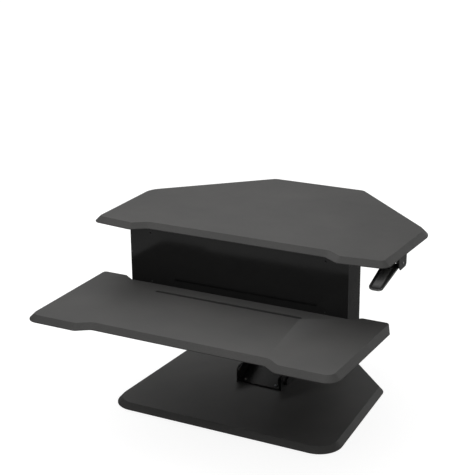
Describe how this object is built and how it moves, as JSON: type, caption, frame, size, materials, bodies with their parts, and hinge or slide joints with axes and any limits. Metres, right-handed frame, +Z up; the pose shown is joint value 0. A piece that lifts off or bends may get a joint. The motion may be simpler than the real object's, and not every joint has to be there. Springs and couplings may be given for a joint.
{
  "type": "standing desk converter",
  "caption": "Raised two-tier desk converter: bevelled corner work surface and keyboard tray on a black riser, lifted by a knee-jointed arm from a base board.",
  "frame": {"origin": "on the desk surface, at the middle of the whole footprint", "axes": "+X to the user's right, +Y away from the user, +Z up"},
  "size_m": [0.9136, 0.935, 0.5302],
  "materials": {
    "laminate": "matte black laminate on fibreboard",
    "rubber": "matte rubber",
    "gloss_black_steel": "high-gloss black powder coat",
    "satin_black_steel": "satin black powder coat",
    "black_steel": "semi-gloss black powder coat",
    "zinc_steel": "zinc plated",
    "bronze": "oiled sintered bronze",
    "chromed_rod": "hard chrome",
    "spring_tube": "satin black",
    "black_plastic": "moulded, fine matte",
    "lever_metal": "satin dark grey"
  },
  "bodies": {
    "base": {"base_board": "laminate", "base_pads": "rubber", "base_bracket_left": "black_steel", "base_bracket_right": "black_steel", "base_bracket_screws": "zinc_steel", "lower_pivot_pins": "black_steel", "base_link_studs": "black_steel"},
    "lower_arm": {"lower_arm": "black_steel", "lower_arm_rivets": "zinc_steel", "lower_arm_bushes": "bronze", "lower_gear_sectors": "zinc_steel"},
    "lower_link": {"lower_links": "black_steel"},
    "knee": {"knee_plate_left": "black_steel", "knee_plate_right": "black_steel", "lower_knee_pin": "zinc_steel", "upper_knee_pin": "zinc_steel", "knee_link_studs": "zinc_steel"},
    "upper_arm": {"upper_arm": "black_steel", "upper_arm_rivets": "zinc_steel", "upper_arm_bushes": "bronze", "upper_gear_sectors": "zinc_steel", "spring_foot_brackets": "black_steel", "spring_foot_screws": "zinc_steel", "spring_foot_pin": "zinc_steel"},
    "upper_link": {"upper_links": "black_steel"},
    "platform": {"top_board": "laminate", "top_screws": "zinc_steel", "top_rail_left": "black_steel", "top_rail_right": "black_steel", "riser_front_panel": "gloss_black_steel", "riser_side_left": "satin_black_steel", "riser_side_right": "satin_black_steel", "riser_lower_beam": "black_steel", "riser_upper_beams": "black_steel", "riser_panel_screws": "black_steel", "riser_bumpers": "rubber", "keyboard_tray": "laminate", "tray_support_left": "black_steel", "tray_support_right": "black_steel", "tray_screws": "zinc_steel", "carriage_plate_left": "black_steel", "carriage_plate_right": "black_steel", "carriage_front_plate": "black_steel", "carriage_bolts": "zinc_steel", "carriage_pivot_pin": "zinc_steel", "carriage_link_studs": "zinc_steel", "spring_head_pin": "zinc_steel", "release_head": "black_plastic", "release_cable": "black_plastic", "cable_clips": "black_plastic", "lever_bracket": "black_steel", "lever_bracket_screws": "zinc_steel", "lever_pin": "zinc_steel", "lever_spring": "zinc_steel"},
    "spring_rods": {"gas_spring_rod_left": "chromed_rod", "gas_spring_rod_right": "chromed_rod"},
    "spring_tubes": {"gas_spring_cylinder_left": "spring_tube", "gas_spring_cylinder_right": "spring_tube"},
    "lever": {"release_lever": "lever_metal"}
  },
  "joints": [
    {"name": "lift", "type": "hinge", "parent": "base", "child": "lower_arm", "pos_m": [0, 0.0445, 0.052], "axis": [1, 0, 0], "range_deg": [-21, 0]},
    {"name": "knee_turn", "type": "hinge", "parent": "lower_arm", "child": "knee", "pos_m": [0, 0.41537, 0.20184], "axis": [1, 0, 0], "range_deg": [0, 21]},
    {"name": "lower_link_turn", "type": "hinge", "parent": "base", "child": "lower_link", "pos_m": [0, 0.0565, 0.036], "axis": [1, 0, 0], "range_deg": [-21, 0]},
    {"name": "upper_arm_turn", "type": "hinge", "parent": "knee", "child": "upper_arm", "pos_m": [0, 0.41537, 0.24184], "axis": [1, 0, 0], "range_deg": [0, 21]},
    {"name": "upper_link_turn", "type": "hinge", "parent": "knee", "child": "upper_link", "pos_m": [0, 0.42737, 0.25784], "axis": [1, 0, 0], "range_deg": [0, 21]},
    {"name": "platform_level", "type": "hinge", "parent": "upper_arm", "child": "platform", "pos_m": [0, 0.0445, 0.39169], "axis": [1, 0, 0], "range_deg": [-21, 0]},
    {"name": "spring_turn", "type": "hinge", "parent": "platform", "child": "spring_rods", "pos_m": [0, 0.0445, 0.45169], "axis": [1, 0, 0], "range_deg": [0, 19.92]},
    {"name": "spring_stroke", "type": "slide", "parent": "spring_rods", "child": "spring_tubes", "axis": [0, 0.908, -0.4191], "range_m": [-0.0212, 0]},
    {"name": "release_lever", "type": "hinge", "parent": "platform", "child": "lever", "pos_m": [0.418, -0.006, 0.49], "axis": [-1, 0, 0], "range_deg": [0, 12], "stiffness_Nm_per_rad": 1.2, "springref_deg": -20.05}
  ],
  "couplings": [
    {"joint": "knee_turn", "follows": "lift", "ratio": -1},
    {"joint": "lower_link_turn", "follows": "lift", "ratio": 1},
    {"joint": "upper_arm_turn", "follows": "lift", "ratio": -1},
    {"joint": "upper_link_turn", "follows": "lift", "ratio": -1},
    {"joint": "platform_level", "follows": "lift", "ratio": 1},
    {"joint": "spring_turn", "follows": "lift", "ratio": -0.946},
    {"joint": "spring_stroke", "follows": "lift", "m_per_rad": 0.0572}
  ]
}
